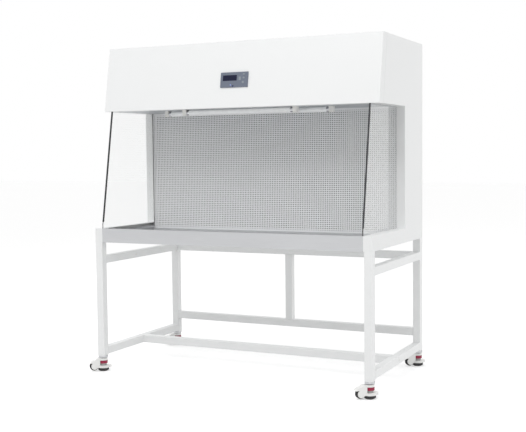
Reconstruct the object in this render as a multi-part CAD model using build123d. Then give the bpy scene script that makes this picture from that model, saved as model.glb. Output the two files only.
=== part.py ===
from build123d import *
import math
import os

# Horizontal laminar flow hood on a welded stand with levelling casters, in millimetres.
# While it is modelled, X runs to the right, Y to the back from the worktop's front and Z up from the floor.

# Cabinet
cabinet_width = 1500
cabinet_depth = 791
skirt_bottom = 671
skirt_height = 71
opening_height = 600
head_height = 328
side_thickness = 43
window_back = 493
head_front_low = 106
head_front_high = 164
cover_return = 55
cover_seam = 2
fold_radius = 1.5
sheet = 1.5
panel_lip = 20
skin_inset = 5

# Worktop
work_recess = 32
upstand_drop = 16
apron_lip = 15

# Side glass
glass_thickness = 5
glass_overlap_back = 5
glass_overlap_top = 8
glass_overlap_bottom = 24
edge_strip_wall = 1
edge_strip_grip = 5
edge_strip_rise = 34

# Diffuser and main filter
diffuser_gap = 7
diffuser_sheet = 1.2
diffuser_return = 10
hole_pitch = 10
hole_diameter = 6
hole_sides = 8
shown_every = 7
shown_columns = 20
shown_rows = 6
filter_depth = 69
filter_wall = 15
pleat_pitch = 20
pleat_sheet = 1
pleat_margin = 5
seat_lip = 16

# Head floor and blower
blower_inset = 171
blower_rise = 178
scroll_radius = 125
scroll_width = 220
inlet_radius = 75
impeller_radius = 98
blade_depth = 16
blade_count = 24
blade_sheet = 2
impeller_width = 176
hub_radius = 20
hub_length = 36
shaft_radius = 6
shaft_reach = 22
motor_radius = 45
motor_length = 70
bracket_width = 18
bracket_sheet = 3
bracket_overlap = 12

# Coarse filter in the top
prefilter_width = 640
prefilter_depth = 360
prefilter_height = 18
prefilter_setback = 106
prefilter_rim = 20
prefilter_media = 8
prefilter_bars = 7
prefilter_bar = 4

# Lamps
lamp_diameter = 26
lamp_length = 895
lamp_setback = 258
lamp_drop = 15
uv_length = 589
uv_setback = 175
holder_width = 20
holder_depth = 30
holder_skirt = 3

# Control panel
bezel_width = 150
bezel_height = 75
bezel_up = 138
bezel_proud = 5
bezel_face = 3
bezel_wall = 2
bezel_corner = 2
bezel_tail = 10
bezel_overlap = 3
display_width = 77
display_height = 28
display_left = -24
display_up = 9
display_pane = 1.5
display_pane_inset = 0.5
display_module_margin = 2
board_thickness = 1.6
key_travel = 1.2
key_proud = 1.2
key_flange = 1.5
key_flange_margin = 1.2
key_stem_radius = 2
key_corner = 2
key_edge = 0.6
switch_height = 5
switch_size = 7
key_places = {
    "key_power": (31, 5, 12, 18),
    "key_up": (52, 26, 11, 8),
    "key_enter": (52, 8, 11, 8),
    "key_down": (49, -14, 11, 11),
}

# Power inlet on the back
inlet_inset = 230
inlet_rise = 108
inlet_flange_width = 50
inlet_flange_height = 28
inlet_flange = 3
inlet_body_width = 28
inlet_body_height = 20
inlet_body_depth = 26
inlet_well_depth = 16
inlet_pin = 2
inlet_pin_height = 4
inlet_pin_recess = 2
inlet_wall = 2
inlet_pin_spacing = 7

# Fasteners
screw_head_radius = 4.5
screw_head_height = 2.5
screw_radius = 2
screw_length = 8
screw_rows = 5
screw_end_margin = 60
cap_radius = 6.5
cap_height = 2
upper_cap_setback = 317

# Stand
tube_size = 40
tube_wall = 2
tube_corner = 3
leg_bottom = 80
leg_end_plate = 5
upper_rail_drop = 71
rear_low_rail_rise = 80
low_rail_rise = 5
cross_rail_setback = 375

# Casters, each turned so that its wheel points to the front left
caster_turn = 45
caster_trail = 48
wheel_radius = 23.5
wheel_width = 18
wheel_lift = 4
wheel_corner = 3
wheel_recess = 3
wheel_rim = 6
axle_radius = 3
hub_boss_radius = 8
cheek_gap = 2
cheek_thickness = 5.5
cheek_radius = 17.5
shoulder_reach = 10
fender_gap = 3.5
fender_wall = 3.5
fender_mouth = 43
arm_bottom = 56
arm_top = 67
arm_reach = 22
cup_bottom = 18
cup_top = 29
cup_radius = 31
cup_wall = 2.2
cup_lid = 2.5
nose_radius = 20
nose_reach = 41
stem_plate_radius = 25
stem_plate_bottom = 71
race_radius = 12
stem_radius = 6
stem_length = 30
pin_head_radius = 9
pin_head_height = 3.2
pad_radius = 28.2
pad_height = 18.5
pad_taper_in = 9
pad_taper_up = 6
foot_up_travel = 7.5
foot_down_travel = 6
screw_stem_radius = 5
screw_stem_top = 46
dial_radius = 22
dial_bottom = 40
dial_top = 55
dial_hub_radius = 17
dial_notches = 16
dial_notch_radius = 1.6

# Clearances
running_clearance = 0.08
free_clearance = 0.3
wheel_clearance = 1.2
overcut = 1

# Worked out from the sizes above
tray_rim = skirt_bottom + skirt_height
opening_top = tray_rim + opening_height
head_top = opening_top + head_height
work_height = tray_rim - work_recess
half_width = cabinet_width / 2
inner_half = half_width - side_thickness
pan_back = cabinet_depth - sheet
head_lean = math.atan((head_front_high - head_front_low) / head_height)
diffuser_front = window_back + diffuser_gap
filter_front = diffuser_front + diffuser_return
filter_back = filter_front + filter_depth
glass_half = inner_half - glass_thickness
edge_strip_bottom = tray_rim + edge_strip_rise
blower_setback = cabinet_depth - blower_inset
blower_height = opening_top + blower_rise
prefilter_front = head_front_high + prefilter_setback
lamp_height = opening_top - lamp_drop
inlet_x = half_width - inlet_inset
inlet_z = opening_top + inlet_rise
leg_x = half_width - tube_size / 2
leg_front_y = tube_size / 2
leg_back_y = cabinet_depth - 1 - tube_size / 2
upper_rail_bottom = skirt_bottom - upper_rail_drop - tube_size
rear_low_rail_bottom = leg_bottom + rear_low_rail_rise
low_rail_bottom = leg_bottom + low_rail_rise
upper_rail_z = upper_rail_bottom + tube_size / 2
low_rail_z = low_rail_bottom + tube_size / 2
wheel_z = wheel_lift + wheel_radius
legs = {
    "front_left": (-leg_x, leg_front_y),
    "front_right": (leg_x, leg_front_y),
    "rear_left": (-leg_x, leg_back_y),
    "rear_right": (leg_x, leg_back_y),
}

# The origin is on the floor, under the middle of the whole plan with its casters.
turn = math.radians(caster_turn)
wheel_half_span = wheel_radius * math.cos(turn) + (wheel_width / 2) * math.sin(turn)
wheel_far = caster_trail * math.cos(turn) + wheel_half_span
nose_far = (nose_reach - nose_radius) * math.cos(turn) + nose_radius
cup_far = max(nose_far, cup_radius)
plan_x = -((leg_x + cup_far) - (leg_x + wheel_far)) / 2
plan_y = -((leg_back_y + cup_far) + (leg_front_y - wheel_far)) / 2


def block(x0, x1, y0, y1, z0, z1):
    """A box between two opposite corners."""
    return Pos((x0 + x1) / 2, (y0 + y1) / 2, (z0 + z1) / 2) * Box(x1 - x0, y1 - y0, z1 - z0)


def rod(radius, x, y, z0, z1):
    """An upright cylinder."""
    return Pos(x, y, (z0 + z1) / 2) * Cylinder(radius, z1 - z0)


def cross_rod(radius, x0, x1, y, z):
    """A cylinder along X."""
    return Pos((x0 + x1) / 2, y, z) * Rot(0, 90, 0) * Cylinder(radius, x1 - x0)


def prism_x(points, x0, x1):
    """An outline in Y and Z, drawn out along X."""
    return Pos(x0, 0, 0) * extrude(Plane.YZ * Polygon(*points, align=None), x1 - x0)


def head_front(z):
    """The leaning front's place at a height."""
    share = (z - opening_top) / head_height
    return head_front_low + share * (head_front_high - head_front_low)


def glass_front(z):
    """The side glass's front edge, which runs down to the worktop's front."""
    return head_front_low * (z - tray_rim) / (opening_top - tray_rim)


def group(pieces):
    """Separate solids in one sub-part."""
    return Compound([solid for piece in pieces for solid in piece.solids()])


def save(name, shape):
    """Writes one sub-part, measured from the origin under the middle of the plan."""
    shape = Pos(plan_x, plan_y, 0) * shape
    shape.label = name
    export_step(shape, f"parts/{name}.step")


# Cabinet shell

def screw_places():
    """Where the back panel's screws go, in X and Z."""
    low = skirt_bottom + screw_end_margin
    step = (head_top - skirt_bottom - 2 * screw_end_margin) / (screw_rows - 1)
    x = half_width - side_thickness / 2
    return [(side * x, low + row * step) for side in (-1, 1) for row in range(screw_rows)]


def screw_holes():
    holes = [
        Pos(x, cabinet_depth, z) * Rot(90, 0, 0) * Cylinder(screw_radius + running_clearance, 6 * sheet)
        for x, z in screw_places()
    ]
    return holes


def side_panel(side):
    """One side: a folded pan with the skirt below the window and the head above it."""
    front = cover_return + cover_seam
    outline = Polygon(
        (0, skirt_bottom),
        (pan_back, skirt_bottom),
        (pan_back, head_top),
        (head_front_high + front, head_top),
        (head_front_low + front, opening_top),
        (window_back, opening_top),
        (window_back, tray_rim),
        (0, tray_rim),
        align=None,
    )
    outside = extrude(Plane.YZ * outline, side_thickness)
    outside = fillet(outside.faces().sort_by(Axis.X)[-1].edges(), fold_radius)
    hollow = extrude(Plane.YZ * offset(outline, -sheet, kind=Kind.INTERSECTION), side_thickness - sheet)
    pan = Pos(inner_half, 0, 0) * (outside - hollow)
    if side < 0:
        pan = mirror(pan, about=Plane.YZ)
    return pan - screw_holes()


def head_cover():
    """The leaning front of the head, folded back at its ends, top and bottom."""
    outer = [
        (head_front_low, opening_top),
        (head_front_low + cover_return, opening_top),
        (head_front_high + cover_return, head_top),
        (head_front_high, head_top),
    ]
    z0 = opening_top + sheet
    z1 = head_top - sheet
    skin = sheet / math.cos(head_lean)
    inner = [
        (head_front(z0) + skin, z0),
        (head_front(z0) + cover_return + skin, z0),
        (head_front(z1) + cover_return + skin, z1),
        (head_front(z1) + skin, z1),
    ]
    cover = prism_x(outer, -half_width, half_width)
    cover = fillet(cover.faces().sort_by(Axis.Y)[0].edges(), fold_radius)
    cover -= prism_x(inner, -half_width + sheet, half_width - sheet)
    hole_width = bezel_width - 2 * bezel_overlap + 2 * free_clearance
    hole_height = bezel_height - 2 * bezel_overlap + 2 * free_clearance
    return cover - on_head(Box(hole_width, hole_height, 4 * sheet), 0, 0, 0)


def top_panel():
    """The lid over the head, with the coarse filter's opening."""
    front = head_front_high + cover_return
    lid = block(-inner_half, inner_half, front, pan_back, head_top - sheet, head_top)
    lip_top = head_top - sheet
    lid += block(-inner_half, inner_half, front, front + sheet, lip_top - panel_lip, lip_top)
    lid += block(-inner_half, inner_half, pan_back - sheet, pan_back, lip_top - panel_lip, lip_top)
    opening = block(
        -prefilter_width / 2 + prefilter_rim,
        prefilter_width / 2 - prefilter_rim,
        prefilter_front + prefilter_rim,
        prefilter_front + prefilter_depth - prefilter_rim,
        head_top - 2 * sheet,
        head_top + sheet,
    )
    return lid - opening


def back_panel():
    """The service cover screwed on the back."""
    edge = half_width - skin_inset
    low = skirt_bottom + skin_inset
    skin = block(-edge, edge, pan_back, cabinet_depth, low, head_top - skin_inset)
    skin -= screw_holes()
    hole = block(
        inlet_x - inlet_body_width / 2 - free_clearance,
        inlet_x + inlet_body_width / 2 + free_clearance,
        pan_back - sheet,
        cabinet_depth + sheet,
        inlet_z - inlet_body_height / 2 - free_clearance,
        inlet_z + inlet_body_height / 2 + free_clearance,
    )
    return skin - hole


def bottom_panel():
    """The underside, with an upright lip that the main filter seats against."""
    floor = block(-inner_half, inner_half, panel_lip, pan_back, skirt_bottom, skirt_bottom + sheet)
    lip_top = work_height + diffuser_gap / 2 + seat_lip
    floor += block(
        -inner_half, inner_half, filter_back, filter_back + sheet, skirt_bottom + sheet, lip_top
    )
    back_lip = skirt_bottom + panel_lip
    floor += block(-inner_half, inner_half, pan_back - sheet, pan_back, skirt_bottom, back_lip)
    return floor


def head_floor():
    """The shelf under the head: the work zone's ceiling and the blower's base."""
    front = head_front_low + cover_return + free_clearance
    shelf = block(-inner_half, inner_half, front, pan_back, opening_top, opening_top + sheet)
    shelf += block(
        -inner_half, inner_half, filter_back, filter_back + sheet, opening_top - seat_lip, opening_top
    )
    inside = scroll_radius - sheet
    outlet = block(
        -scroll_width / 2 + sheet,
        scroll_width / 2 - sheet,
        blower_setback + sheet,
        blower_setback + inside,
        opening_top - sheet,
        opening_top + 2 * sheet,
    )
    return shelf - outlet


def worktop():
    """The steel tray: apron, raised lip, recessed surface and side upstands."""
    tray = block(-inner_half, inner_half, 0, panel_lip - sheet, skirt_bottom, skirt_bottom + sheet)
    tray += block(-inner_half, inner_half, 0, sheet, skirt_bottom, tray_rim)
    inner = glass_half - free_clearance
    tray += block(-inner, inner, 0, apron_lip, tray_rim - sheet, tray_rim)
    tray += block(-inner, inner, apron_lip - sheet, apron_lip, work_height - sheet, tray_rim)
    tray += block(-inner, inner, apron_lip, diffuser_front, work_height - sheet, work_height)
    for side in (-1, 1):
        x0, x1 = sorted((side * inner, side * (inner - sheet)))
        tray += block(x0, x1, apron_lip, window_back - free_clearance, work_height, tray_rim - upstand_drop)
    return tray


# Glass sides

def glass_points():
    low = tray_rim - glass_overlap_bottom
    high = opening_top
    back = window_back + glass_overlap_back
    toe = apron_lip / 4
    bend = tray_rim + toe * (opening_top - tray_rim) / head_front_low
    return [(toe, low), (back, low), (back, high), (glass_front(high), high), (toe, bend)]


def side_glass(side):
    x0, x1 = sorted((side * glass_half, side * inner_half))
    return prism_x(glass_points(), x0, x1)


def glass_edge_strips():
    """Dark channels pushed on the front edges of both panes."""
    z0, z1 = edge_strip_bottom, opening_top - free_clearance
    grip = [
        (glass_front(z0) - edge_strip_wall, z0),
        (glass_front(z0) + edge_strip_grip, z0),
        (glass_front(z1) + edge_strip_grip, z1),
        (glass_front(z1) - edge_strip_wall, z1),
    ]
    strips = []
    for side in (-1, 1):
        near = side * (glass_half - edge_strip_wall)
        far = side * (inner_half + edge_strip_wall)
        x0, x1 = sorted((near, far))
        strips.append(prism_x(grip, x0, x1) - side_glass(side))
    return group(strips)


# Air path

def diffuser_plate():
    """The perforated plate. Only some of its holes are cut here, at their real size."""
    z0, z1 = work_height + free_clearance, opening_top - free_clearance
    x1 = inner_half - free_clearance
    plate = block(-x1, x1, diffuser_front, filter_front, z0, z1)
    wall = diffuser_sheet
    plate -= block(-x1 + wall, x1 - wall, diffuser_front + wall, filter_front, z0 + wall, z1 - wall)
    step = hole_pitch * shown_every
    row_step = (z1 - z0) / shown_rows
    hole = Rot(90, 0, 0) * extrude(RegularPolygon(hole_diameter / 2, hole_sides), 2 * wall, both=True)
    holes = []
    for column in range(shown_columns):
        for row in range(shown_rows):
            x = (column - (shown_columns - 1) / 2) * step
            z = z0 + (row + 0.5) * row_step
            holes.append(Pos(x, diffuser_front, z) * hole)
    return plate - holes


def filter_frame():
    z0, z1 = work_height + free_clearance, opening_top - free_clearance
    x1 = inner_half - free_clearance
    frame = block(-x1, x1, filter_front, filter_back, z0, z1)
    hole = block(
        -x1 + filter_wall,
        x1 - filter_wall,
        filter_front - overcut,
        filter_back + overcut,
        z0 + filter_wall,
        z1 - filter_wall,
    )
    return frame - hole


def filter_media():
    """The folded sheet inside the filter frame."""
    x1 = inner_half - free_clearance - filter_wall
    z0 = work_height + free_clearance + filter_wall
    z1 = opening_top - free_clearance - filter_wall
    folds = int(2 * x1 / pleat_pitch)
    pitch = 2 * x1 / folds
    near = filter_front + pleat_margin
    far = filter_back - pleat_margin
    points = [(-x1, near)]
    for fold in range(folds):
        points.append((-x1 + (fold + 0.5) * pitch, far))
        points.append((-x1 + (fold + 1) * pitch, near))
    ribbon = trace(Polyline(*points), pleat_sheet)
    pleats = Pos(0, 0, z0) * extrude(ribbon, z1 - z0)
    return pleats & block(-x1, x1, near - pleat_sheet, far + pleat_sheet, z0, z1)


def prefilter_frame():
    """The frame under the lid's opening, with bars across it."""
    x1 = prefilter_width / 2
    y0, y1 = prefilter_front, prefilter_front + prefilter_depth
    z1 = head_top - sheet
    z0 = z1 - prefilter_height
    rim = prefilter_rim
    frame = block(-x1, x1, y0, y1, z0, z1) - block(-x1 + rim, x1 - rim, y0 + rim, y1 - rim, z0, z1)
    step = (prefilter_width - 2 * rim) / (prefilter_bars + 1)
    for bar in range(prefilter_bars):
        x = -x1 + rim + (bar + 1) * step
        frame += block(x - prefilter_bar / 2, x + prefilter_bar / 2, y0 + rim, y1 - rim, z1 - prefilter_bar, z1)
    return frame


def prefilter_pad():
    x1 = prefilter_width / 2 - prefilter_rim
    z1 = head_top - sheet - prefilter_bar
    y0 = prefilter_front + prefilter_rim
    y1 = prefilter_front + prefilter_depth - prefilter_rim
    return block(-x1, x1, y0, y1, z1 - prefilter_media, z1)


def scroll(radius, half, duct_bottom, duct_front, duct_back):
    """The blower casing's form: a drum with a duct straight down behind its middle."""
    drum = cross_rod(radius, -half, half, blower_setback, blower_height)
    return drum + block(-half, half, duct_front, duct_back, duct_bottom, blower_height)


def blower_housing():
    half = scroll_width / 2
    base = opening_top + sheet
    outside = scroll(scroll_radius, half, base, blower_setback, blower_setback + scroll_radius)
    inside = scroll(
        scroll_radius - sheet,
        half - sheet,
        base - sheet,
        blower_setback + sheet,
        blower_setback + scroll_radius - sheet,
    )
    casing = outside - inside
    reach = half + overcut
    return casing - cross_rod(inlet_radius, -reach, reach, blower_setback, blower_height)


def blower_wheel():
    """The squirrel cage with its middle disc, hub and shaft."""
    half = impeller_width / 2
    ring = sheet * 2
    inner = impeller_radius - blade_depth
    parts = []
    for x0, x1 in ((-half, -half + ring), (half - ring, half)):
        bore = cross_rod(inner, x0 - overcut, x1 + overcut, 0, 0)
        parts.append(cross_rod(impeller_radius, x0, x1, 0, 0) - bore)
    disc = cross_rod(impeller_radius, -ring / 2, ring / 2, 0, 0)
    disc += cross_rod(hub_radius, -hub_length / 2, hub_length / 2, 0, 0)
    disc += cross_rod(shaft_radius, -hub_length / 2, hub_length / 2 + shaft_reach, 0, 0)
    wheel = disc + parts[0] + parts[1]
    blade = Box(impeller_width - ring, blade_sheet, blade_depth - blade_sheet)
    blade = Pos(0, 0, inner + blade_depth / 2) * blade
    for index in range(blade_count):
        wheel += Rot(index * 360 / blade_count, 0, 0) * blade
    return Pos(0, blower_setback, blower_height) * wheel


def blower_motor():
    """The motor on a cross of flat bars over one inlet."""
    near = hub_length / 2 + free_clearance * 4
    far = scroll_width / 2
    motor = cross_rod(motor_radius, near, near + motor_length, 0, 0)
    motor += cross_rod(motor_radius / 2, near + motor_length, far, 0, 0)
    arm = 2 * (inlet_radius + bracket_overlap)
    motor += Pos(far + bracket_sheet / 2, 0, 0) * Box(bracket_sheet, bracket_width, arm)
    motor += Pos(far + bracket_sheet / 2, 0, 0) * Box(bracket_sheet, arm, bracket_width)
    bore = cross_rod(shaft_radius + running_clearance, near - overcut, near + shaft_reach, 0, 0)
    return Pos(0, blower_setback, blower_height) * (motor - bore)


# Lamps

def lamp(length, setback):
    """A tube with metal caps at its ends."""
    tube = cross_rod(lamp_diameter / 2, -length / 2, length / 2, setback, lamp_height)
    return chamfer(tube.edges().filter_by(GeomType.CIRCLE), 1)


def lamp_holders():
    holders = []
    bottom = lamp_height - lamp_diameter / 2 - holder_skirt + 1
    for length, setback in ((lamp_length, lamp_setback), (uv_length, uv_setback)):
        for side in (-1, 1):
            x0, x1 = sorted((side * length / 2, side * (length / 2 + holder_width)))
            y0, y1 = setback - holder_depth / 2, setback + holder_depth / 2
            body = block(x0, x1, y0, y1, bottom, opening_top)
            body = fillet(body.edges().filter_by(Axis.X).sort_by(Axis.Z)[:2], holder_depth / 3)
            holders.append(body)
    return group(holders)


# Control panel, on the leaning front

def on_head(shape, across, up, out):
    """Puts a shape on the leaning front: across and up from the panel's middle, and out from the skin."""
    place = Plane(
        origin=(0, head_front_low, opening_top),
        x_dir=(1, 0, 0),
        z_dir=(0, -math.cos(head_lean), math.sin(head_lean)),
    )
    return place * Pos(across, bezel_up + up, out) * shape


def slab(width, height, low, high, corner=0):
    """A plate that lies on the panel, from one depth to another."""
    outline = RectangleRounded(width, height, corner) if corner else Rectangle(width, height)
    return Pos(0, 0, low) * extrude(outline, high - low)


def control_bezel():
    """The frame of the panel, with a tail through the cover and holes for the display and keys."""
    tail_width = bezel_width - 2 * bezel_overlap
    tail_height = bezel_height - 2 * bezel_overlap
    bezel = slab(bezel_width, bezel_height, 0, bezel_proud, bezel_corner)
    bezel += slab(tail_width, tail_height, -bezel_tail, 0)
    room_width = tail_width - 2 * bezel_wall
    room_height = tail_height - 2 * bezel_wall
    bezel -= slab(room_width, room_height, -bezel_tail, bezel_proud - bezel_face)
    window = slab(display_width, display_height, 0, bezel_proud)
    bezel -= Pos(display_left, display_up, 0) * window
    for across, up, width, height in key_places.values():
        cut = slab(width + 2 * free_clearance, height + 2 * free_clearance, 0, bezel_proud, key_corner)
        bezel -= Pos(across, up, 0) * cut
    return on_head(bezel, 0, 0, 0)


def display_window():
    gap = free_clearance / 2
    face = bezel_proud - display_pane_inset
    pane = slab(display_width - gap, display_height - gap, face - display_pane, face)
    return on_head(pane, display_left, display_up, 0)


def control_board():
    """The circuit board behind the bezel, with the display module and the key switches."""
    width = bezel_width - 2 * bezel_overlap
    height = bezel_height - 2 * bezel_overlap
    top = -bezel_tail
    board = slab(width, height, top - board_thickness, top)
    module_top = bezel_proud - display_pane - display_pane_inset - free_clearance
    module_width = display_width - 2 * display_module_margin
    module_height = display_height - 2 * display_module_margin
    board += Pos(display_left, display_up, 0) * slab(module_width, module_height, top, module_top)
    for across, up, _, _ in key_places.values():
        board += Pos(across, up, 0) * slab(switch_size, switch_size, top, top + switch_height)
    return on_head(board, 0, 0, 0)


def key(name):
    """A key cap with a flange behind the bezel and a stem down to its switch."""
    across, up, width, height = key_places[name]
    face_back = bezel_proud - bezel_face
    flange_top = face_back - free_clearance
    cap = slab(width, height, flange_top, bezel_proud + key_proud, key_corner)
    cap = chamfer(cap.edges().group_by(Axis.Z)[-1], key_edge)
    wide, high = width + 2 * key_flange_margin, height + 2 * key_flange_margin
    cap += slab(wide, high, flange_top - key_flange, flange_top, key_corner)
    switch_top = -bezel_tail + switch_height
    stem_bottom = switch_top + key_travel + free_clearance
    cap += rod(key_stem_radius, 0, 0, stem_bottom, flange_top - key_flange)
    return on_head(cap, across, up, 0)


# Power inlet and fasteners

def power_inlet():
    """A three-pin appliance inlet let into the back panel."""
    x, z = inlet_x, inlet_z
    out = cabinet_depth + inlet_flange
    flange = block(
        x - inlet_flange_width / 2,
        x + inlet_flange_width / 2,
        cabinet_depth,
        out,
        z - inlet_flange_height / 2,
        z + inlet_flange_height / 2,
    )
    half_w, half_h = inlet_body_width / 2, inlet_body_height / 2
    inlet = flange + block(x - half_w, x + half_w, out - inlet_body_depth, out, z - half_h, z + half_h)
    well_w, well_h = half_w - inlet_wall, half_h - inlet_wall
    bottom = out - inlet_well_depth
    inlet -= block(x - well_w, x + well_w, bottom, out, z - well_h, z + well_h)
    for column, row in ((-1, -1), (0, 1), (1, -1)):
        px = x + column * inlet_pin_spacing
        pz = z + row * inlet_pin_height / 2
        x0, x1 = px - inlet_pin / 2, px + inlet_pin / 2
        z0, z1 = pz - inlet_pin_height / 2, pz + inlet_pin_height / 2
        inlet += block(x0, x1, bottom, out - inlet_pin_recess, z0, z1)
    return inlet


def fasteners():
    """Back panel screws, and the round caps on the stand's rails."""
    pieces = []
    for x, z in screw_places():
        head = Pos(x, cabinet_depth + screw_head_height / 2, z) * Rot(90, 0, 0)
        head *= Cylinder(screw_head_radius, screw_head_height)
        shank = Pos(x, cabinet_depth - screw_length / 2, z) * Rot(90, 0, 0)
        shank *= Cylinder(screw_radius, screw_length)
        pieces.append(head + shank)
    cross_y = cross_rail_setback + tube_size / 2
    for side in (-1, 1):
        outer = side * half_width
        x0, x1 = sorted((outer, outer + side * cap_height))
        pieces.append(cross_rod(cap_radius, x0, x1, cross_y, low_rail_z))
        inner = side * (half_width - tube_size)
        x0, x1 = sorted((inner, inner - side * cap_height))
        pieces.append(cross_rod(cap_radius, x0, x1, upper_cap_setback, upper_rail_z))
    return group(pieces)


# Stand

def tube_section():
    outer = RectangleRounded(tube_size, tube_size, tube_corner)
    bore = tube_size - 2 * tube_wall
    return outer - RectangleRounded(bore, bore, tube_corner - tube_wall)


def leg(name):
    """An upright tube with a plate at its foot for the caster's stem."""
    x, y = legs[name]
    post = Pos(0, 0, leg_bottom) * extrude(tube_section(), skirt_bottom - leg_bottom)
    inside = tube_size - 2 * tube_wall
    post += block(-inside / 2, inside / 2, -inside / 2, inside / 2, leg_bottom, leg_bottom + leg_end_plate)
    hole_top = leg_bottom + leg_end_plate + overcut
    post -= rod(stem_radius + running_clearance, 0, 0, leg_bottom - overcut, hole_top)
    return Pos(x, y, 0) * post


def rail_to_back(x, z):
    """A side rail between a front leg and a rear leg."""
    y0 = leg_front_y + tube_size / 2
    y1 = leg_back_y - tube_size / 2
    return Pos(x, y1, z) * Rot(90, 0, 0) * extrude(tube_section(), y1 - y0)


def rail_across(y, z):
    """A rail from one side of the stand to the other."""
    x1 = leg_x - tube_size / 2
    return Pos(-x1, y, z) * Rot(0, 90, 0) * extrude(tube_section(), 2 * x1)


def rear_post():
    z0 = rear_low_rail_bottom + tube_size
    return Pos(0, leg_back_y, z0) * extrude(tube_section(), upper_rail_bottom - z0)


# Casters: modelled on their own swivel axis, with the wheel towards -X, then turned and set under the legs

def place_caster(shape, name):
    x, y = legs[name]
    return Pos(x, y, 0) * Rot(0, 0, caster_turn) * shape


def along_axle(radius, half):
    """A cylinder on the wheel's axle line."""
    return Pos(-caster_trail, 0, wheel_z) * Rot(90, 0, 0) * Cylinder(radius, 2 * half)


def caster_stem():
    """The threaded stem, its plate under the leg and the pin that the housing turns on."""
    stem = rod(stem_plate_radius, 0, 0, stem_plate_bottom, leg_bottom)
    stem = chamfer(stem.edges().filter_by(GeomType.CIRCLE), 1)
    stem += rod(stem_radius, 0, 0, leg_bottom, leg_bottom + stem_length)
    stem += rod(race_radius, 0, 0, arm_top + free_clearance, stem_plate_bottom)
    head_top_z = arm_bottom + pin_head_height + free_clearance
    stem += rod(stem_radius, 0, 0, head_top_z, arm_top + free_clearance)
    stem += rod(pin_head_radius, 0, 0, head_top_z - pin_head_height, head_top_z)
    return stem


def caster_stems():
    return group(place_caster(caster_stem(), name) for name in legs)


def caster_housing():
    """The cast body: arm, cheeks beside the wheel, fender and the cup over the pad, with the axle pressed in."""
    half = wheel_width / 2 + cheek_gap + cheek_thickness
    fender = wheel_radius + fender_gap + fender_wall
    cheek_right = -math.sqrt(dial_radius**2 - (wheel_width / 2) ** 2)
    cheeks = Polygon(
        (-caster_trail, cup_bottom),
        (cheek_right, cup_bottom),
        (cheek_right, arm_top),
        (-caster_trail + shoulder_reach, arm_top),
        (-caster_trail, wheel_z + fender),
        align=None,
    )
    body = extrude(Plane.XZ * cheeks, half, both=True)
    body += along_axle(cheek_radius, half)
    hood = along_axle(fender, half)
    body += hood & block(-caster_trail - fender, -caster_trail, -half, half, fender_mouth, arm_top)
    body += block(cheek_right, 0, -half, half, arm_bottom, arm_top)
    body += rod(arm_reach, 0, 0, arm_bottom, arm_top)
    body += rod(cup_radius, 0, 0, cup_bottom, cup_top)
    body += rod(nose_radius, nose_reach - nose_radius, 0, cup_bottom, cup_top)
    room = cup_radius - cup_wall
    body -= rod(room, 0, 0, cup_bottom - overcut, cup_top - cup_lid)
    body -= along_axle(wheel_radius + fender_gap, wheel_width / 2 + cheek_gap)
    body -= rod(dial_radius + wheel_clearance, 0, 0, cup_top, arm_bottom)
    screw_hole = screw_stem_radius + running_clearance
    body -= rod(screw_hole, 0, 0, cup_top - cup_lid - overcut, cup_top + overcut)
    body -= rod(stem_radius + running_clearance, 0, 0, arm_bottom - overcut, arm_top + overcut)
    recess_top = arm_bottom + pin_head_height + 2 * free_clearance
    body -= rod(pin_head_radius + free_clearance, 0, 0, arm_bottom - overcut, recess_top)
    body += along_axle(axle_radius, half)
    return body


def caster_wheel():
    """The wheel: a tyre on a dished hub with a boss at each side."""
    wheel = along_axle(wheel_radius, wheel_width / 2)
    wheel = chamfer(wheel.edges().filter_by(GeomType.CIRCLE), wheel_corner)
    for side in (-1, 1):
        y = side * (wheel_width / 2 - wheel_recess / 2)
        dish = Pos(-caster_trail, y, wheel_z) * Rot(90, 0, 0)
        dish *= Cylinder(wheel_radius - wheel_rim, wheel_recess) - Cylinder(hub_boss_radius, wheel_recess)
        wheel -= dish
    boss = along_axle(hub_boss_radius, wheel_width / 2 + cheek_gap - free_clearance)
    return wheel + boss - along_axle(axle_radius + running_clearance, wheel_width)


def caster_foot():
    """The pad with its screw, relieved where the wheel turns past it."""
    pad = rod(pad_radius, 0, 0, pad_taper_up, pad_height)
    pad += Pos(0, 0, pad_taper_up / 2) * Cone(pad_radius - pad_taper_in, pad_radius, pad_taper_up)
    half = wheel_width / 2 + wheel_clearance
    reach = wheel_radius + wheel_clearance
    for lift in (foot_down_travel, 0, -foot_up_travel):
        pad -= Pos(0, 0, lift) * along_axle(reach, half)
    slot = block(
        -caster_trail, -caster_trail + reach, -half, half, wheel_z - foot_up_travel, wheel_z + foot_down_travel
    )
    pad -= slot
    return pad + rod(screw_stem_radius, 0, 0, pad_height, screw_stem_top)


def caster_dial():
    """The thumb nut between the cup and the arm."""
    dial = rod(dial_radius, 0, 0, dial_bottom, dial_top)
    for index in range(dial_notches):
        angle = index * 2 * math.pi / dial_notches
        x, y = dial_radius * math.cos(angle), dial_radius * math.sin(angle)
        dial -= rod(dial_notch_radius, x, y, dial_bottom, dial_top)
    dial += rod(dial_hub_radius, 0, 0, cup_top + free_clearance, dial_bottom)
    return dial - rod(screw_stem_radius + running_clearance, 0, 0, cup_top, dial_top + overcut)


os.makedirs("parts", exist_ok=True)

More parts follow.
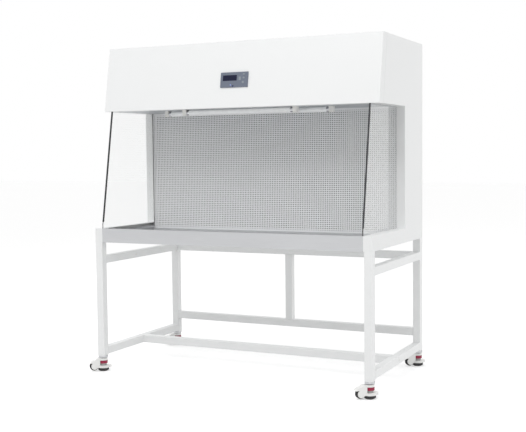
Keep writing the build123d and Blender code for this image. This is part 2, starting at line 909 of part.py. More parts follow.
save("side_panel_left", side_panel(-1))
save("side_panel_right", side_panel(1))
save("head_cover", head_cover())
save("top_panel", top_panel())
save("back_panel", back_panel())
save("bottom_panel", bottom_panel())
save("head_floor", head_floor())
save("worktop", worktop())
save("side_glass_left", side_glass(-1))
save("side_glass_right", side_glass(1))
save("glass_edge_strips", glass_edge_strips())
save("diffuser_plate", diffuser_plate())
save("filter_frame", filter_frame())
save("filter_media", filter_media())
save("prefilter_frame", prefilter_frame())
save("prefilter_media", prefilter_pad())
save("blower_housing", blower_housing())
save("blower_wheel", blower_wheel())
save("blower_motor", blower_motor())
save("lamp_tube", lamp(lamp_length, lamp_setback))
save("uv_tube", lamp(uv_length, uv_setback))
save("lamp_holders", lamp_holders())
save("control_bezel", control_bezel())
save("display_window", display_window())
save("control_board", control_board())
for key_name in key_places:
    save(key_name, key(key_name))
save("power_inlet", power_inlet())
save("fasteners", fasteners())

for leg_name in legs:
    save(f"leg_{leg_name}", leg(leg_name))
save("rail_upper_left", rail_to_back(-leg_x, upper_rail_z))
save("rail_upper_right", rail_to_back(leg_x, upper_rail_z))
save("rail_lower_left", rail_to_back(-leg_x, low_rail_z))
save("rail_lower_right", rail_to_back(leg_x, low_rail_z))
save("rail_rear_upper", rail_across(leg_back_y, upper_rail_z))
save("rail_rear_lower", rail_across(leg_back_y, rear_low_rail_bottom + tube_size / 2))
save("rail_cross_lower", rail_across(cross_rail_setback + tube_size / 2, low_rail_z))
save("post_rear_centre", rear_post())

save("caster_stems", caster_stems())
for leg_name in legs:
    save(f"caster_housing_{leg_name}", place_caster(caster_housing(), leg_name))
    save(f"caster_wheel_{leg_name}", place_caster(caster_wheel(), leg_name))
    save(f"caster_foot_{leg_name}", place_caster(caster_foot(), leg_name))
    save(f"caster_dial_{leg_name}", place_caster(caster_dial(), leg_name))
print("plan offset", round(plan_x, 3), round(plan_y, 3))
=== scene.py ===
import math

import bmesh
import bpy
from mathutils import Matrix, Vector


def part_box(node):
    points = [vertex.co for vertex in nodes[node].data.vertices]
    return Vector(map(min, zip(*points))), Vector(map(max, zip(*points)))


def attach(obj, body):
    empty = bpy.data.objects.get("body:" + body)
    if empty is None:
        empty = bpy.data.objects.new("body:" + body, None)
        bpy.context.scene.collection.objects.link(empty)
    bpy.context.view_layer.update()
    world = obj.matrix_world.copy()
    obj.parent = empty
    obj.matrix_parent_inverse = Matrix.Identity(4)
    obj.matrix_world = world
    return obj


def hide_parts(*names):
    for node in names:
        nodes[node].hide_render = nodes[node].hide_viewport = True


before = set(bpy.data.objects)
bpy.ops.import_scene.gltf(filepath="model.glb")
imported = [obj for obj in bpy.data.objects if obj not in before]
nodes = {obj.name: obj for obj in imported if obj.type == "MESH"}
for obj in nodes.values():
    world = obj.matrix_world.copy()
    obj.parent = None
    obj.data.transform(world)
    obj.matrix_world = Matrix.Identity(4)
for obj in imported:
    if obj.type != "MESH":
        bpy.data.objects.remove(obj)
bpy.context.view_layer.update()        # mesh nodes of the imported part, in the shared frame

scene = bpy.context.scene
legNames = ("front_left", "front_right", "rear_left", "rear_right")
print("frame loaded:", len(nodes), "nodes")

# Camera, from the photograph's own perspective

photo = {"width": 526, "focalPixels": 963.32, "sensor": 36}
viewpoint = {"place": (2.18687, -4.46235, 1.115), "yaw": 25.74, "down": 3.68, "roll": -0.59}


def addCamera():
    yaw, down, roll = (math.radians(viewpoint[key]) for key in ("yaw", "down", "roll"))
    look = Vector((-math.sin(yaw) * math.cos(down), math.cos(yaw) * math.cos(down), -math.sin(down)))
    level = Vector((math.cos(yaw), math.sin(yaw), 0))
    above = level.cross(look)
    right = level * math.cos(roll) + above * math.sin(roll)
    up = above * math.cos(roll) - level * math.sin(roll)
    data = bpy.data.cameras.new("photoCamera")
    data.sensor_width = photo["sensor"]
    data.lens = photo["sensor"] * photo["focalPixels"] / photo["width"]
    camera = bpy.data.objects.new("photoCamera", data)
    turned = Matrix((right, up, -look)).transposed().to_4x4()
    camera.matrix_world = Matrix.Translation(viewpoint["place"]) @ turned
    scene.collection.objects.link(camera)
    scene.camera = camera


addCamera()
print("camera placed")

# Small helpers for modelling by hand

hair = 1e-5              # how close two places count as one
flat = 0.95              # a face counts as level from this share of its normal upwards


def deselectAll():
    if bpy.context.object and bpy.context.object.mode != "OBJECT":
        bpy.ops.object.mode_set(mode="OBJECT")
    bpy.ops.object.select_all(action="DESELECT")


def startPiece(name):  # names the primitive that was just added
    piece = bpy.context.object
    piece.name = name
    piece.data.name = name
    return piece


def choose(piece):  # makes the piece the active one, and the only one selected
    deselectAll()
    piece.select_set(True)
    bpy.context.view_layer.objects.active = piece


def editMesh(piece):
    choose(piece)
    bpy.ops.object.mode_set(mode="EDIT")
    bpy.ops.mesh.select_all(action="DESELECT")


def pick(piece, kind, test):  # selects the vertices, edges or faces that pass the test; returns how many
    work = bmesh.from_edit_mesh(piece.data)
    bpy.ops.mesh.select_mode(type=kind)
    bpy.ops.mesh.select_all(action="DESELECT")
    found = 0
    for part in {"VERT": work.verts, "EDGE": work.edges, "FACE": work.faces}[kind]:
        if test(part):
            part.select_set(True)
            found += 1
    work.select_flush_mode()
    bmesh.update_edit_mesh(piece.data)
    return found


def settle(piece):  # puts the piece's place into its mesh
    choose(piece)
    bpy.ops.object.transform_apply(location=True, rotation=True, scale=True)


def applyAll(piece):
    choose(piece)
    for modifier in list(piece.modifiers):
        bpy.ops.object.modifier_apply(modifier=modifier.name)


def smooth(piece, degrees):
    choose(piece)
    bpy.ops.object.shade_smooth_by_angle(angle=math.radians(degrees))


def startRound(name, sides, radius, height, place, turn):  # adds a cylinder and opens its mesh
    deselectAll()
    bpy.ops.mesh.primitive_cylinder_add(
        vertices=sides, radius=radius, depth=height, location=place, rotation=turn
    )
    piece = startPiece(name)
    editMesh(piece)
    return piece


def roundTop(piece, height, offset, segments):  # bevels the upper rim of a cylinder
    pick(piece, "EDGE", lambda e: all(v.co.z > height / 2 - hair for v in e.verts))
    bpy.ops.mesh.bevel(offset=offset, segments=segments, affect="EDGES")


# Colours are written as they look on screen, from 0 to 255


def linear(level):
    share = level / 255
    return share / 12.92 if share <= 0.04045 else ((share + 0.055) / 1.055) ** 2.4


def tone(red, green=None, blue=None):
    if green is None:
        green = blue = red
    return (linear(red), linear(green), linear(blue), 1)


# Shared surface effects, each with its noises as scale, detail and stretch


def newGroup(name, inputs, outputs=("Colour", "Roughness", "Height")):
    group = bpy.data.node_groups.new(name, "ShaderNodeTree")
    for label, value in inputs.items():
        kind = "NodeSocketColor" if isinstance(value, tuple) else "NodeSocketFloat"
        socket = group.interface.new_socket(name=label, in_out="INPUT", socket_type=kind)
        socket.default_value = value
    for label in outputs:
        kind = "NodeSocketColor" if label == "Colour" else "NodeSocketFloat"
        group.interface.new_socket(name=label, in_out="OUTPUT", socket_type=kind)
    return group, group.nodes.new("NodeGroupInput").outputs, group.nodes.new("NodeGroupOutput").inputs


def link(tree, pairs):  # each pair is an output or value and the input that takes it
    for source, target in pairs:
        if isinstance(source, (int, float)):
            target.default_value = source
        else:
            tree.links.new(source, target)


def ownPlace(tree):  # the place in the piece's own space
    return tree.nodes.new("ShaderNodeTexCoord").outputs["Object"]


def ownAxis(tree, axis):
    split = tree.nodes.new("ShaderNodeSeparateXYZ")
    tree.links.new(ownPlace(tree), split.inputs[0])
    return split.outputs[axis]


def addNoise(tree, scale, detail, stretch=None):
    place = ownPlace(tree)
    if stretch:
        mapping = tree.nodes.new("ShaderNodeMapping")
        mapping.inputs["Scale"].default_value = stretch
        tree.links.new(place, mapping.inputs["Vector"])
        place = mapping.outputs["Vector"]
    noise = tree.nodes.new("ShaderNodeTexNoise")
    noise.inputs["Scale"].default_value = scale
    noise.inputs["Detail"].default_value = detail
    tree.links.new(place, noise.inputs["Vector"])
    return noise.outputs["Fac"]


def mathNode(tree, operation, first, second=0, clamp=False):
    node = tree.nodes.new("ShaderNodeMath")
    node.operation = operation
    node.use_clamp = clamp
    link(tree, ((first, node.inputs[0]), (second, node.inputs[1])))
    return node.outputs["Value"]


def swing(tree, noise, amount, centre=1.0):  # noise turned into centre plus or minus half the amount
    share = mathNode(tree, "MULTIPLY", mathNode(tree, "SUBTRACT", noise, 0.5), amount)
    return mathNode(tree, "ADD", share, centre)


def brighten(tree, colour, factor):
    node = tree.nodes.new("ShaderNodeHueSaturation")
    link(tree, ((factor, node.inputs["Value"]), (colour, node.inputs["Color"])))
    return node.outputs["Color"]


def mixColours(tree, factor, first, second):
    mix = tree.nodes.new("ShaderNodeMix")
    mix.data_type = "RGBA"
    link(tree, ((factor, mix.inputs["Factor"]), (first, mix.inputs["A"]), (second, mix.inputs["B"])))
    return mix.outputs["Result"]


def mixShaders(tree, factor, first, second):
    mix = tree.nodes.new("ShaderNodeMixShader")
    link(tree, zip((factor, first, second), mix.inputs))
    return mix.outputs["Shader"]


def makePaintGroup():  # powder coat: slow drift of tone, orange peel, uneven gloss
    paint = {"slow": (2.3, 3), "grain": (700, 1), "peel": (260, 2)}
    amounts = {"speck": 0.02, "gloss": 0.12, "grainHeight": 0.3}
    group, start, end = newGroup("powderCoat", {"Tone": (0.8, 0.8, 0.8, 1), "Drift": 0.03, "Gloss": 0.4})
    slow, grain, peel = (addNoise(group, *paint[key]) for key in ("slow", "grain", "peel"))
    speck = swing(group, grain, amounts["speck"])
    fine = mathNode(group, "MULTIPLY", grain, amounts["grainHeight"])
    link(group, (
        (brighten(group, start["Tone"], swing(group, slow, start["Drift"], speck)), end["Colour"]),
        (swing(group, slow, amounts["gloss"], start["Gloss"]), end["Roughness"]),
        (mathNode(group, "ADD", peel, fine), end["Height"]),
    ))
    return group


def makeBrushGroup():  # fine lines drawn along the width of a sheet
    brush = {"lines": (40, 4, (0.25, 22, 22)), "broad": (3.1, 2, (0.6, 2.5, 2.5))}
    amounts = {"broad": 0.12, "gloss": 0.22}
    group, start, end = newGroup("brushedGrain", {"Tone": (0.5, 0.5, 0.5, 1), "Contrast": 0.15, "Gloss": 0.3})
    lines, broad = (addNoise(group, *brush[key]) for key in ("lines", "broad"))
    drift = swing(group, broad, amounts["broad"])
    link(group, (
        (brighten(group, start["Tone"], swing(group, lines, start["Contrast"], drift)), end["Colour"]),
        (swing(group, lines, amounts["gloss"], start["Gloss"]), end["Roughness"]),
        (lines, end["Height"]),
    ))
    return group


def makeMouldGroup():  # moulded plastic or rubber: fine grain and a little dust low down
    mould = {"grain": (1500, 2), "cloud": (60, 3)}
    amounts = {"tone": 0.16, "gloss": 0.15}
    group, start, end = newGroup("mouldedSkin", {
        "Tone": (0.1, 0.1, 0.1, 1), "Dust": (0.4, 0.38, 0.35, 1),
        "Dust top": 0.012, "Dust amount": 0.0, "Gloss": 0.5,
    })
    grain, cloud = (addNoise(group, *mould[key]) for key in ("grain", "cloud"))
    rise = mathNode(group, "DIVIDE", ownAxis(group, "Z"), start["Dust top"])
    depth = mathNode(group, "SUBTRACT", 1, rise, True)
    mask = mathNode(group, "MULTIPLY", mathNode(group, "MULTIPLY", depth, cloud), start["Dust amount"], True)
    clean = brighten(group, start["Tone"], swing(group, cloud, amounts["tone"]))
    link(group, (
        (mixColours(group, mask, clean, start["Dust"]), end["Colour"]),
        (swing(group, cloud, amounts["gloss"], start["Gloss"]), end["Roughness"]),
        (grain, end["Height"]),
    ))
    return group


def makeClothGroup():  # paper and fibre mat: tangled threads
    cloth = {"strands": (420, 5, (1, 0.2, 1)), "across": (380, 5, (0.2, 1, 0.3))}
    inputs = {"Tone": (0.8, 0.8, 0.78, 1), "Depth": 0.2}
    group, start, end = newGroup("tangledFibre", inputs, ("Colour", "Height"))
    strands, across = (addNoise(group, *cloth[key]) for key in ("strands", "across"))
    tangle = mathNode(group, "MAXIMUM", strands, across)
    link(group, (
        (brighten(group, start["Tone"], swing(group, tangle, start["Depth"])), end["Colour"]),
        (tangle, end["Height"]),
    ))
    return group


groups = {
    "paint": makePaintGroup(),
    "brush": makeBrushGroup(),
    "mould": makeMouldGroup(),
    "cloth": makeClothGroup(),
}
print("surface groups made:", len(groups))


def newMaterial(name):
    material = bpy.data.materials.new(name)
    material.use_nodes = True
    return material, material.node_tree, material.node_tree.nodes["Principled BSDF"]


def useGroup(tree, key, values):
    node = tree.nodes.new("ShaderNodeGroup")
    node.node_tree = groups[key]
    for label, value in values.items():
        node.inputs[label].default_value = value
    return node.outputs


def addBump(tree, shader, height, strength, distance):
    bump = tree.nodes.new("ShaderNodeBump")
    bump.inputs["Strength"].default_value = strength
    bump.inputs["Distance"].default_value = distance
    link(tree, ((height, bump.inputs["Height"]), (bump.outputs["Normal"], shader.inputs["Normal"])))


def finishMaterial(name, key, values, bump=(0.1, 0.0004), shaderValues=None):  # bump: strength and distance
    material, tree, shader = newMaterial(name)
    surface = useGroup(tree, key, values)
    tree.links.new(surface["Colour"], shader.inputs["Base Color"])
    if "Roughness" in surface:
        tree.links.new(surface["Roughness"], shader.inputs["Roughness"])
    addBump(tree, shader, surface["Height"], *bump)
    for label, value in (shaderValues or {}).items():
        shader.inputs[label].default_value = value
    return material


finishes = {
    "shellPaint": ("paint", {"Tone": tone(238, 239, 239), "Drift": 0.02, "Gloss": 0.42}),
    "standPaint": ("paint", {"Tone": tone(240, 241, 241), "Drift": 0.03, "Gloss": 0.45}),
    "diffuserPaint": ("paint", {"Tone": tone(242, 243, 244), "Drift": 0.03, "Gloss": 0.5}),
    "casterPaint": ("paint", {"Tone": tone(240, 240, 238), "Drift": 0.02, "Gloss": 0.3}),
    "motorPaint": ("paint", {"Tone": tone(60, 62, 66), "Drift": 0.05, "Gloss": 0.45}),
    "worktopSteel": ("brush", {"Tone": tone(196, 197, 199), "Contrast": 0.2, "Gloss": 0.34}),
    "zincSheet": ("brush", {"Tone": tone(196, 199, 202), "Contrast": 0.1, "Gloss": 0.5}),
    "frameAluminium": ("brush", {"Tone": tone(214, 215, 217), "Contrast": 0.12, "Gloss": 0.42}),
    "brightSteel": ("brush", {"Tone": tone(196, 197, 199), "Contrast": 0.12, "Gloss": 0.32}),
    "edgeStrip": ("mould", {"Tone": tone(44, 45, 48), "Gloss": 0.5}),
    "holderPlastic": ("mould", {"Tone": tone(232, 231, 228), "Gloss": 0.4}),
    "keyPlastic": ("mould", {"Tone": tone(136, 144, 152), "Gloss": 0.5}),
    "board": ("mould", {"Tone": tone(38, 92, 60), "Gloss": 0.45}),
    "blackPlastic": ("mould", {"Tone": tone(34, 34, 36), "Gloss": 0.45}),
    "tyreRubber": ("mould", {"Tone": tone(34, 34, 36), "Dust amount": 0.7, "Dust top": 0.02, "Gloss": 0.62}),
    "padRubber": ("mould", {"Tone": tone(36, 35, 37), "Dust amount": 0.8, "Dust top": 0.008, "Gloss": 0.6}),
    "capPlastic": ("mould", {"Tone": tone(236, 236, 234), "Gloss": 0.4}),
    # the filter paper's grey is painted shade: white paper made darker to look as it does in the shade behind
    # the diffuser
    "filterPaperPaintedShade": ("cloth", {"Tone": tone(140, 140, 136), "Depth": 0.2}),
    "fibrePad": ("cloth", {"Tone": tone(214, 216, 218), "Depth": 0.5}),
}
metals = {"worktopSteel": 1.0, "zincSheet": 0.9, "frameAluminium": 1.0, "brightSteel": 1.0}
clothRoughness = 0.9     # the cloth group gives no roughness of its own
materials = {}
for finishName, (groupKey, groupValues) in finishes.items():
    shaderValues = {"Metallic": metals.get(finishName, 0.0)}
    if groupKey == "cloth":
        shaderValues["Roughness"] = clothRoughness
    materials[finishName] = finishMaterial(finishName, groupKey, groupValues, shaderValues=shaderValues)


def makeDialMaterial():  # crimson nut above a grey band of painted shade, for the shaded gap over the white housing
    dial = {"split": 0.0402, "paintedGapShade": tone(168, 168, 166), "nut": tone(158, 36, 68), "gloss": 0.35,
            "bump": (0.1, 0.0003)}
    material, tree, shader = newMaterial("dialPlastic")
    nut = useGroup(tree, "mould", {"Tone": dial["nut"], "Gloss": dial["gloss"]})
    # the grey below the split is painted shade: it darkens the gap between the dial and the housing
    paintedGapShade = useGroup(tree, "mould", {"Tone": dial["paintedGapShade"]})
    above = mathNode(tree, "GREATER_THAN", ownAxis(tree, "Z"), dial["split"])
    link(tree, (
        (mixColours(tree, above, paintedGapShade["Colour"], nut["Colour"]), shader.inputs["Base Color"]),
        (nut["Roughness"], shader.inputs["Roughness"]),
    ))
    addBump(tree, shader, nut["Height"], *dial["bump"])
    return material


def makeGlassMaterial(name, colour):  # clear to shadow rays, so that the light comes through
    glass = {"ior": 1.5, "haze": (9, 4), "smudge": 0.05}
    material, tree, shader = newMaterial(name)
    shader.inputs["Base Color"].default_value = colour
    shader.inputs["Transmission Weight"].default_value = 1.0
    shader.inputs["IOR"].default_value = glass["ior"]
    haze = addNoise(tree, *glass["haze"])
    clear = tree.nodes.new("ShaderNodeBsdfTransparent").outputs["BSDF"]
    shadow = tree.nodes.new("ShaderNodeLightPath").outputs["Is Shadow Ray"]
    surface = tree.nodes["Material Output"].inputs["Surface"]
    link(tree, (
        (mathNode(tree, "MULTIPLY", haze, glass["smudge"]), shader.inputs["Roughness"]),
        (mixShaders(tree, shadow, shader.outputs["BSDF"], clear), surface),
    ))
    return material


def makeDisplayMaterial():  # unlit liquid crystal cells behind a tinted pane
    cell = {"Scale": 1, "Brick Width": 0.0042, "Row Height": 0.0078, "Mortar Size": 0.0005,
            "Color1": tone(34, 37, 66), "Color2": tone(32, 36, 58), "Mortar": tone(25, 28, 50)}
    pane = {"coat": 0.08, "specular": 0.12, "haze": (40, 3), "roughness": 0.22, "roughnessSwing": 0.15}
    material, tree, shader = newMaterial("displayPane")
    mapping = tree.nodes.new("ShaderNodeMapping")
    mapping.inputs["Rotation"].default_value = (math.radians(-90), 0, 0)
    cells = tree.nodes.new("ShaderNodeTexBrick")
    cells.offset = 0
    for label, value in cell.items():
        cells.inputs[label].default_value = value
    haze = addNoise(tree, *pane["haze"])
    link(tree, (
        (ownPlace(tree), mapping.inputs["Vector"]),
        (mapping.outputs["Vector"], cells.inputs["Vector"]),
        (cells.outputs["Color"], shader.inputs["Base Color"]),
        (swing(tree, haze, pane["roughnessSwing"], pane["roughness"]), shader.inputs["Roughness"]),
    ))
    shader.inputs["Coat Weight"].default_value = pane["coat"]
    shader.inputs["Specular IOR Level"].default_value = pane["specular"]
    return material


def makeLampMaterial(name, node):  # pale tube with a metal cap at each end
    lamp = {"cap": 0.014, "capTone": tone(186, 187, 190), "capContrast": 0.1,
            "tone": tone(244, 245, 246), "gloss": 0.22, "bump": (0.03, 0.0001)}
    low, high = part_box(node)
    bare = (high.x - low.x) / 2 - lamp["cap"]
    material, tree, shader = newMaterial(name)
    glass = useGroup(tree, "mould", {"Tone": lamp["tone"], "Gloss": lamp["gloss"]})
    metal = useGroup(tree, "brush", {"Tone": lamp["capTone"], "Contrast": lamp["capContrast"]})
    along = mathNode(tree, "SUBTRACT", ownAxis(tree, "X"), (low.x + high.x) / 2)
    ends = mathNode(tree, "GREATER_THAN", mathNode(tree, "ABSOLUTE", along), bare)
    link(tree, (
        (mixColours(tree, ends, glass["Colour"], metal["Colour"]), shader.inputs["Base Color"]),
        (ends, shader.inputs["Metallic"]),
        (glass["Roughness"], shader.inputs["Roughness"]),
    ))
    addBump(tree, shader, metal["Height"], *lamp["bump"])
    return material


materials["dialPlastic"] = makeDialMaterial()
materials["workLamp"] = makeLampMaterial("workLamp", "lamp_tube")
materials["shortLamp"] = makeLampMaterial("shortLamp", "uv_tube")
materials["sideGlass"] = makeGlassMaterial("sideGlass", (0.995, 1.0, 0.998, 1))
materials["displayPane"] = makeDisplayMaterial()
materials["bezelPlastic"] = finishMaterial(
    "bezelPlastic", "mould", {"Tone": tone(104, 112, 127), "Gloss": 0.5}, (0.15, 0.0003)
)
print("materials made:", len(materials))


def dress(materialName, *names):
    for name in names:
        data = nodes[name].data
        data.materials.clear()
        data.materials.append(materials[materialName])


dress("shellPaint", "side_panel_left", "side_panel_right", "head_cover")
dress("shellPaint", "top_panel", "back_panel", "bottom_panel")
dress("zincSheet", "head_floor", "blower_housing", "blower_wheel")
dress("worktopSteel", "worktop")
dress("sideGlass", "side_glass_left", "side_glass_right")
dress("edgeStrip", "glass_edge_strips")
dress("diffuserPaint", "diffuser_plate")
dress("frameAluminium", "filter_frame", "prefilter_frame")
# the filter media get white paper darkened with painted shade
dress("filterPaperPaintedShade", "filter_media")
dress("fibrePad", "prefilter_media")
dress("motorPaint", "blower_motor")
dress("workLamp", "lamp_tube")
dress("shortLamp", "uv_tube")
dress("holderPlastic", "lamp_holders")
dress("bezelPlastic", "control_bezel")
dress("displayPane", "display_window")
dress("board", "control_board")
dress("keyPlastic", "key_power", "key_up", "key_enter", "key_down")
dress("blackPlastic", "power_inlet")
dress("brightSteel", "caster_stems")
dress("capPlastic", "fasteners")
dress("standPaint", "post_rear_centre", *(name for name in nodes if name.startswith(("leg_", "rail_"))))
for legName in legNames:
    dress("casterPaint", f"caster_housing_{legName}")
    dress("tyreRubber", f"caster_wheel_{legName}")
    dress("padRubber", f"caster_foot_{legName}")
    dress("dialPlastic", f"caster_dial_{legName}")
print("nodes dressed")

# Perforated diffuser plate, with every hole, in strips side by side

diffuser = {
    "pitch": 0.010, "hole": 0.006, "holeSides": 8, "sheet": 0.0012, "fold": 0.0088, "strips": 4,
    "weld": 0.0001, "near": 0.0001,
}
standing = (math.radians(90), 0, 0)


def selectWhole():
    bpy.ops.mesh.select_all(action="SELECT")


def addHoleCell(left, bottom, y):  # a square of sheet with one hole, standing in the plate's plane
    pitch = diffuser["pitch"]
    centre = (left + pitch / 2, y, bottom + pitch / 2)
    deselectAll()
    bpy.ops.mesh.primitive_plane_add(size=pitch, location=centre, rotation=standing)
    cell = startPiece("diffuserCell")
    editMesh(cell)
    selectWhole()
    bpy.ops.mesh.subdivide(number_cuts=1)
    pick(cell, "VERT", lambda v: v.co.length < pitch / 4)  # the vertex in the middle
    bpy.ops.mesh.delete(type="VERT")
    bpy.ops.mesh.primitive_circle_add(
        vertices=diffuser["holeSides"], radius=diffuser["hole"] / 2, location=centre, rotation=standing
    )
    selectWhole()
    bpy.ops.mesh.bridge_edge_loops()
    settle(cell)
    return cell


def repeatCell(cell, columns, rows):
    for offset, count in (((diffuser["pitch"], 0, 0), columns), ((0, 0, diffuser["pitch"]), rows)):
        array = cell.modifiers.new("rows", "ARRAY")
        array.use_relative_offset = False
        array.use_constant_offset = True
        array.constant_offset_displace = offset
        array.count = count
        array.use_merge_vertices = True
        array.merge_threshold = diffuser["weld"]
    applyAll(cell)


def isNear(first, second):
    return abs(first - second) < diffuser["near"]


def onRim(p, low, high):
    return isNear(p.x, low.x) or isNear(p.x, high.x) or isNear(p.z, low.z) or isNear(p.z, high.z)


def growEdge(piece, test, shift):  # extrudes the open edges that pass the test
    if pick(piece, "EDGE", lambda e: e.is_boundary and all(test(v.co) for v in e.verts)):
        bpy.ops.mesh.extrude_region_move(TRANSFORM_OT_translate={"value": shift})


def faceFront(plate):  # turns the sheet's faces towards the work zone
    editMesh(plate)
    selectWhole()
    bpy.ops.mesh.normals_make_consistent(inside=False)
    deselectAll()
    if sum(face.normal.y * face.area for face in plate.data.polygons) > 0:
        editMesh(plate)
        selectWhole()
        bpy.ops.mesh.flip_normals()


def addStrip(strip, corner, columns, rows):
    low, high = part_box("diffuser_plate")
    left, bottom = corner
    right, top = left + columns * diffuser["pitch"], bottom + rows * diffuser["pitch"]
    plate = addHoleCell(left, bottom, low.y)
    plate.name = plate.data.name = f"diffuserStrip{strip}"
    repeatCell(plate, columns, rows)
    editMesh(plate)
    growEdge(plate, lambda p: isNear(p.z, top), (0, 0, high.z - top))
    growEdge(plate, lambda p: isNear(p.z, bottom), (0, 0, low.z - bottom))
    if strip == 1:
        growEdge(plate, lambda p: isNear(p.x, left), (low.x - left, 0, 0))
    if strip == diffuser["strips"]:
        growEdge(plate, lambda p: isNear(p.x, right), (high.x - right, 0, 0))
    growEdge(plate, lambda p: onRim(p, low, high), (0, diffuser["fold"], 0))
    faceFront(plate)
    deselectAll()
    wall = plate.modifiers.new("sheet", "SOLIDIFY")
    wall.thickness = diffuser["sheet"]
    wall.offset = -1
    applyAll(plate)
    plate.data.materials.append(materials["diffuserPaint"])
    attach(plate, "cabinet")
    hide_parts("diffuser_plate")


def addDiffuser():
    low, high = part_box("diffuser_plate")
    pitch = diffuser["pitch"]
    columns = int((high.x - low.x - pitch) / pitch)
    rows = int((high.z - low.z - pitch) / pitch)
    left = (low.x + high.x - columns * pitch) / 2
    bottom = (low.z + high.z - rows * pitch) / 2
    perStrip = columns // diffuser["strips"]
    for strip in range(diffuser["strips"]):
        addStrip(strip + 1, (left + strip * perStrip * pitch, bottom), perStrip, rows)
    print("diffuser:", columns * rows, "holes")


addDiffuser()

# Status light and receiver window, on the panel's leaning face

panel = {
    "foot": Vector((0.011036, -0.277964, 1.342)), "lean": math.atan(58 / 328), "up": 0.138, "proud": 0.005,
}
lenses = {
    "statusLight": {
        "across": -0.0175, "up": -0.026, "radius": 0.0038, "tone": tone(138, 152, 204), "glow": 0.12,
    },
    "receiverWindow": {
        "across": -0.005, "up": -0.0318, "radius": 0.0042, "tone": tone(40, 48, 98), "glow": 0,
    },
}
lensForm = {
    "height": 0.0016, "sunk": 0.0004, "rim": 0.0006, "dip": 0.0003, "round": 0.0003, "sides": 32,
    "roundSteps": 2, "smooth": 35, "gloss": 0.2, "bump": (0.03, 0.0001),
}


def onPanel(across, up, out):
    rise = Vector((0, math.sin(panel["lean"]), math.cos(panel["lean"])))
    outward = Vector((0, -math.cos(panel["lean"]), math.sin(panel["lean"])))
    return panel["foot"] + Vector((across, 0, 0)) + rise * (panel["up"] + up) + outward * out


def addLens(name, lens):
    height = lensForm["height"]
    place = onPanel(lens["across"], lens["up"], panel["proud"] + height / 2 - lensForm["sunk"])
    turn = (math.pi / 2 - panel["lean"], 0, 0)
    piece = startRound(name, lensForm["sides"], lens["radius"], height, place, turn)
    pick(piece, "FACE", lambda f: f.normal.z > flat)
    bpy.ops.mesh.inset(thickness=lensForm["rim"], depth=-lensForm["dip"])
    roundTop(piece, height, lensForm["round"], lensForm["roundSteps"])
    settle(piece)
    smooth(piece, lensForm["smooth"])
    skin = {"Tone": lens["tone"], "Gloss": lensForm["gloss"]}
    glow = {"Emission Color": lens["tone"], "Emission Strength": lens["glow"]}
    piece.data.materials.append(finishMaterial(name, "mould", skin, lensForm["bump"], glow))
    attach(piece, "cabinet")


for lensName, lensSizes in lenses.items():
    addLens(lensName, lensSizes)
print("lenses:", len(lenses))

# Screws with round sockets on the back, and round caps on the rails

screw = {
    "radius": 0.00449, "height": 0.0025, "shank": 0.002, "socket": 0.0016, "depth": 0.0014, "round": 0.0006,
    "sides": 24,
}
cap = {"sides": 32, "round": 0.35, "mostHeight": 0.005}  # the rounding is a share of the cap's height
fastener = {"roundSteps": 3, "smooth": 40, "weld": 1e-6, "digits": 4}


def islandBoxes(name):  # corners of each separate solid in a node, in the shared frame
    work = bmesh.new()
    work.from_mesh(nodes[name].data)
    work.transform(nodes[name].matrix_world)
    bmesh.ops.remove_doubles(work, verts=work.verts, dist=fastener["weld"])
    left = set(work.verts)
    boxes = []
    while left:
        group = [left.pop()]
        for vert in group:
            near = {edge.other_vert(vert) for edge in vert.link_edges} & left
            left -= near
            group.extend(near)
        low = Vector(min(v.co[i] for v in group) for i in range(3))
        high = Vector(max(v.co[i] for v in group) for i in range(3))
        boxes.append((low, high))
    work.free()
    return sorted(boxes, key=lambda box: tuple(round(value, fastener["digits"]) for value in box[0]))


def deepen(piece, test, thickness, shift):  # insets the faces that pass the test and pushes them along Y
    pick(piece, "FACE", test)
    bpy.ops.mesh.inset(thickness=thickness, depth=0)
    bpy.ops.mesh.extrude_region_move(TRANSFORM_OT_translate={"value": (0, shift, 0)})


def addScrew(name, low, high):  # a head with a rounded rim and a round socket, on its shank
    radius, height = screw["radius"], screw["height"]
    place = ((low.x + high.x) / 2, high.y - height / 2, (low.z + high.z) / 2)
    piece = startRound(name, screw["sides"], radius, height, place, (-math.pi / 2, 0, 0))
    roundTop(piece, height, screw["round"], fastener["roundSteps"])
    rim = radius - screw["round"] - screw["socket"]
    deepen(piece, lambda f: f.normal.z > flat and len(f.verts) == screw["sides"], rim, -screw["depth"])
    deepen(piece, lambda f: f.normal.z < -flat, radius - screw["shank"], low.y - high.y + height)
    return piece


def addCap(name, low, high, outward):  # a rounded cap over the end of a rail's bolt
    height = high.x - low.x
    turn = (0, outward * math.pi / 2, 0)
    piece = startRound(name, cap["sides"], (high.z - low.z) / 2, height, (low + high) / 2, turn)
    roundTop(piece, height, height * cap["round"], fastener["roundSteps"])
    return piece


def addFasteners():
    screws, caps = [], []
    for low, high in islandBoxes("fasteners"):
        if high.x - low.x > cap["mostHeight"]:
            screws.append(addScrew(f"coverScrew{len(screws) + 1}", low, high))
        else:
            outward = 1 if len(caps) % 2 else -1  # from left to right they face -X, +X, -X, +X
            caps.append(addCap(f"railCap{len(caps) + 1}", low, high, outward))
    for piece in screws + caps:
        settle(piece)
        smooth(piece, fastener["smooth"])
        piece.data.materials.append(materials["brightSteel" if piece in screws else "capPlastic"])
        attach(piece, "cabinet")
        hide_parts("fasteners")
    print("fasteners:", len(screws), "screws,", len(caps), "caps")


addFasteners()

# Studio: pale floor, white background and soft lamps

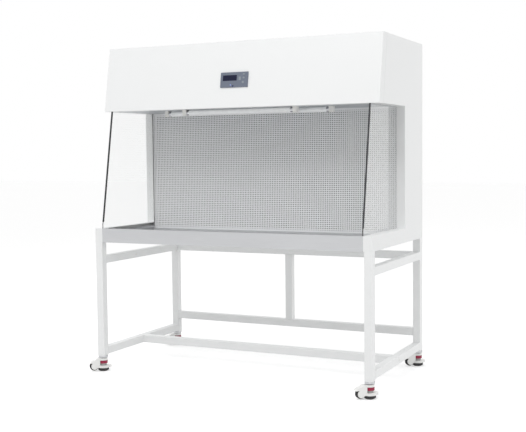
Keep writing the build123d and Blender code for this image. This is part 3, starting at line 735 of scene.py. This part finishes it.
white = (1, 1, 1, 1)
studio = {"world": 0.725, "worldTone": white}
floorForm = {
    "size": 60, "tone": tone(225), "lift": 0.42, "roughness": 0.9, "specular": 0.1,
    "fibre": (30, 3), "fibreSwing": 0.01,
}
lamps = {
    "highFront": {"place": (0.3, -3.4, 4.6), "aim": (0, 0, 0.9), "size": 2.4, "power": 80},
    "rightSide": {"place": (5.5, 1.2, 2.2), "aim": (0, 0, 1.0), "size": 3.0, "power": 50},
    "leftSide": {"place": (-5.5, 0.8, 2.2), "aim": (0, 0, 1.0), "size": 3.0, "power": 90},
}


def seenByCamera(tree):  # 1 for rays from the camera, also after a reflection or through glass
    path = tree.nodes.new("ShaderNodeLightPath").outputs
    seen = mathNode(tree, "MAXIMUM", path["Is Camera Ray"], path["Is Glossy Ray"])
    return mathNode(tree, "MAXIMUM", seen, path["Is Transmission Ray"])


def addWorld():  # soft light for the part, plain white for the camera
    world = bpy.data.worlds.new("studioWorld")
    world.use_nodes = True
    tree = world.node_tree
    soft = tree.nodes["Background"]
    plain = tree.nodes.new("ShaderNodeBackground")
    for node, colour, strength in ((soft, studio["worldTone"], studio["world"]), (plain, white, 1)):
        node.inputs["Color"].default_value = colour
        node.inputs["Strength"].default_value = strength
    both = mixShaders(tree, seenByCamera(tree), soft.outputs["Background"], plain.outputs["Background"])
    tree.links.new(both, tree.nodes["World Output"].inputs["Surface"])
    scene.world = world


def addFloor():  # its shadow shows on white: what the camera sees is lifted by a plain glow
    deselectAll()
    bpy.ops.mesh.primitive_plane_add(size=floorForm["size"])
    floor = startPiece("studioFloor")
    material, tree, shader = newMaterial("floorPaper")
    shader.inputs["Roughness"].default_value = floorForm["roughness"]
    shader.inputs["Specular IOR Level"].default_value = floorForm["specular"]
    fibre = addNoise(tree, *floorForm["fibre"])
    paper = tree.nodes.new("ShaderNodeRGB").outputs[0]
    paper.default_value = floorForm["tone"]
    glow = tree.nodes.new("ShaderNodeEmission")
    both = tree.nodes.new("ShaderNodeAddShader")
    link(tree, (
        (brighten(tree, paper, swing(tree, fibre, floorForm["fibreSwing"])), shader.inputs["Base Color"]),
        (mathNode(tree, "MULTIPLY", seenByCamera(tree), floorForm["lift"]), glow.inputs["Strength"]),
        (shader.outputs["BSDF"], both.inputs[0]),
        (glow.outputs["Emission"], both.inputs[1]),
        (both.outputs["Shader"], tree.nodes["Material Output"].inputs["Surface"]),
    ))
    floor.data.materials.append(material)


def addLamps():
    for name, lamp in lamps.items():
        data = bpy.data.lights.new(name, "AREA")
        data.size = lamp["size"]
        data.energy = lamp["power"]
        light = bpy.data.objects.new(name, data)
        away = Vector(lamp["place"]) - Vector(lamp["aim"])
        turned = away.to_track_quat("Z", "Y").to_matrix().to_4x4()
        light.matrix_world = Matrix.Translation(lamp["place"]) @ turned
        scene.collection.objects.link(light)


addWorld()
addFloor()
addLamps()
scene.view_settings.view_transform = "Standard"
print("studio set")

deselectAll()
